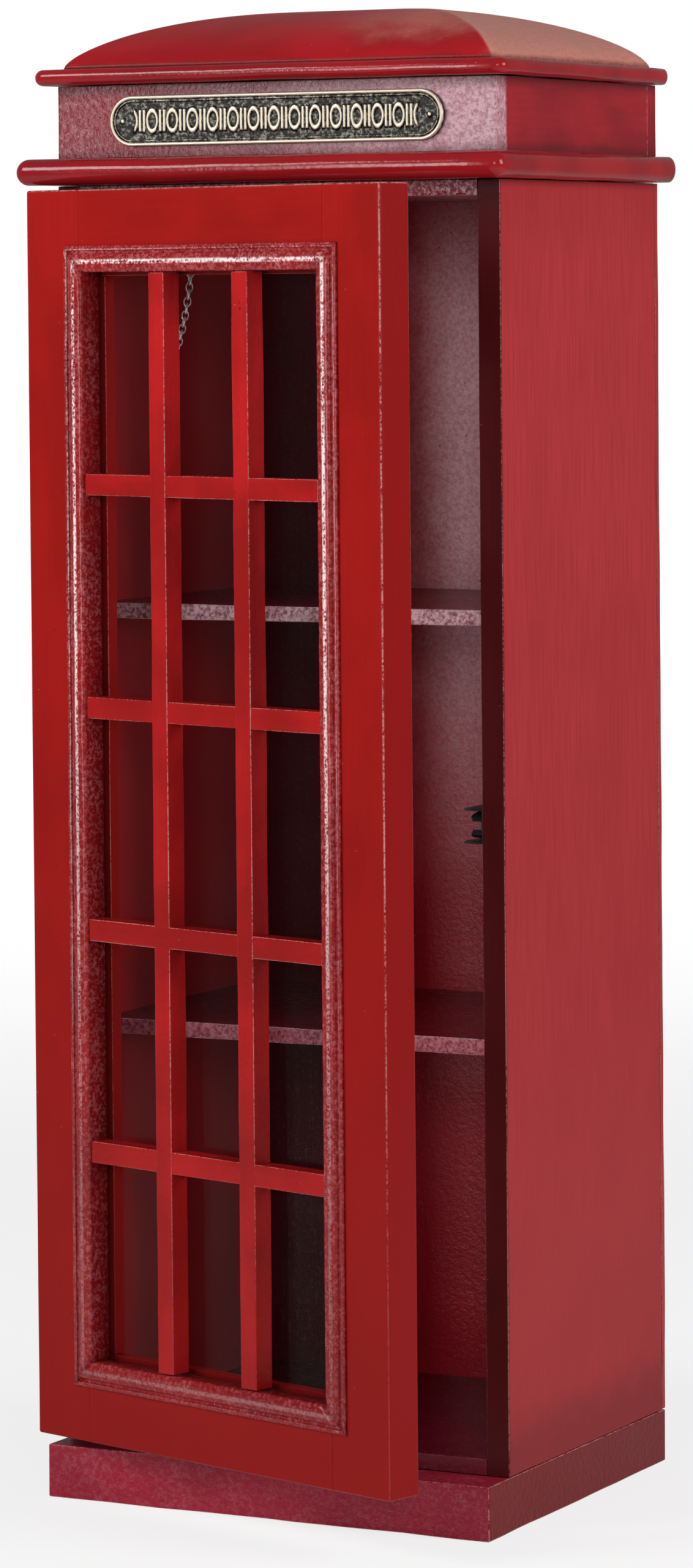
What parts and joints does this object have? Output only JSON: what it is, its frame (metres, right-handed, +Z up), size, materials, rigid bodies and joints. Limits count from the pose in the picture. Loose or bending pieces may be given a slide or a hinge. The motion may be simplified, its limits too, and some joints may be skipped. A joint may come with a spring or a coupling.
{
  "type": "telephone booth display cabinet",
  "caption": "Small painted wooden display cabinet shaped like a telephone booth, with a glazed door, inner shelves, domed roof, spring catch and stay chain.",
  "frame": {"origin": "centre of the base slab's underside", "axes": "+Z up, -Y towards the front with the door, +X to the right as seen from the front"},
  "size_m": [0.33, 0.3424, 0.9092],
  "materials": {
    "red_paint": "glossy dark red paint on wood",
    "door_red_paint": "glossy bright red paint on wood",
    "dark_red_paint": "glossy dark red paint on wood, lumpy",
    "window_glass": "clear",
    "plated_steel": "dull plated",
    "black_steel": "satin black",
    "aged_pewter": "darkened, worn bright on the raised rim"
  },
  "bodies": {
    "cabinet": {"back_panel": "dark_red_paint", "base_slab": "red_paint", "bottom_board": "dark_red_paint", "catch_shell": "black_steel", "frieze_back_board": "red_paint", "frieze_front_board": "red_paint", "frieze_left_board": "red_paint", "frieze_right_board": "red_paint", "left_side_panel": "red_paint", "lower_cornice": "red_paint", "lower_frame_screw_bottom": "plated_steel", "lower_frame_screw_top": "plated_steel", "lower_hinge_frame_leaf": "plated_steel", "lower_hinge_pin": "plated_steel", "lower_shelf": "dark_red_paint", "plaque": "aged_pewter", "right_side_panel": "red_paint", "roof": "red_paint", "top_board": "dark_red_paint", "top_chain_eye": "plated_steel", "upper_cornice": "red_paint", "upper_frame_screw_bottom": "plated_steel", "upper_frame_screw_top": "plated_steel", "upper_hinge_frame_leaf": "plated_steel", "upper_hinge_pin": "plated_steel", "upper_shelf": "dark_red_paint"},
    "door": {"bottom_bead": "door_red_paint", "bottom_glass_stop": "door_red_paint", "catch_strike": "black_steel", "cross_glazing_bar_1": "door_red_paint", "cross_glazing_bar_2": "door_red_paint", "cross_glazing_bar_3": "door_red_paint", "cross_glazing_bar_4": "door_red_paint", "door_bottom_rail": "door_red_paint", "door_chain_eye": "plated_steel", "door_closing_stile": "door_red_paint", "door_hinge_stile": "door_red_paint", "door_top_rail": "door_red_paint", "glass_pane": "window_glass", "left_bead": "door_red_paint", "left_glass_stop": "door_red_paint", "lower_door_screw_bottom": "plated_steel", "lower_door_screw_top": "plated_steel", "lower_hinge_door_leaf": "plated_steel", "right_bead": "door_red_paint", "right_glass_stop": "door_red_paint", "top_bead": "door_red_paint", "top_glass_stop": "door_red_paint", "upper_door_screw_bottom": "plated_steel", "upper_door_screw_top": "plated_steel", "upper_hinge_door_leaf": "plated_steel", "upright_glazing_bar_1": "door_red_paint", "upright_glazing_bar_2": "door_red_paint"},
    "upper_jaw": {"catch_upper_jaw": "black_steel"},
    "lower_jaw": {"catch_lower_jaw": "black_steel"},
    "top_chain_link": {"top_chain_link": "plated_steel"},
    "top_chain_half": {"top_chain_half": "plated_steel"},
    "door_chain_link": {"door_chain_link": "plated_steel"},
    "door_chain_half": {"door_chain_half": "plated_steel"}
  },
  "joints": [
    {"name": "door_hinge", "type": "hinge", "parent": "cabinet", "child": "door", "pos_m": [-0.1526, -0.1012, 0.419], "axis": [0, 0, -1], "range_deg": [-17, 78]},
    {"name": "top_link_turn", "type": "hinge", "parent": "cabinet", "child": "top_chain_link", "pos_m": [-0.07379, -0.06936, 0.7801], "axis": [0, 0, -1], "range_deg": [-9, 40]},
    {"name": "top_half_swing", "type": "hinge", "parent": "top_chain_link", "child": "top_chain_half", "pos_m": [-0.07379, -0.06936, 0.77423], "axis": [-0.9967, -0.0806, 0], "range_deg": [-10, 44]},
    {"name": "door_link_turn", "type": "hinge", "parent": "door", "child": "door_chain_link", "pos_m": [-0.0697, -0.11996, 0.7801], "axis": [0, 0, -1], "range_deg": [-40, 9]},
    {"name": "door_half_swing", "type": "hinge", "parent": "door_chain_link", "child": "door_chain_half", "pos_m": [-0.0697, -0.11996, 0.77423], "axis": [0.9967, 0.0806, 0], "range_deg": [-10, 44]},
    {"name": "upper_jaw_spring", "type": "hinge", "parent": "cabinet", "child": "upper_jaw", "pos_m": [0.1335, -0.08, 0.4252], "axis": [-1, 0, 0], "range_deg": [0, 6], "stiffness_Nm_per_rad": 0.05, "springref_deg": -2.86},
    {"name": "lower_jaw_spring", "type": "hinge", "parent": "cabinet", "child": "lower_jaw", "pos_m": [0.1335, -0.08, 0.4128], "axis": [1, 0, 0], "range_deg": [0, 6], "stiffness_Nm_per_rad": 0.05, "springref_deg": -2.86}
  ],
  "couplings": [
    {"joint": "top_link_turn", "follows": "door_hinge", "ratio": 0.5},
    {"joint": "top_half_swing", "follows": "door_hinge", "ratio": 0.55},
    {"joint": "door_link_turn", "follows": "door_hinge", "ratio": -0.5},
    {"joint": "door_half_swing", "follows": "door_hinge", "ratio": 0.55}
  ]
}
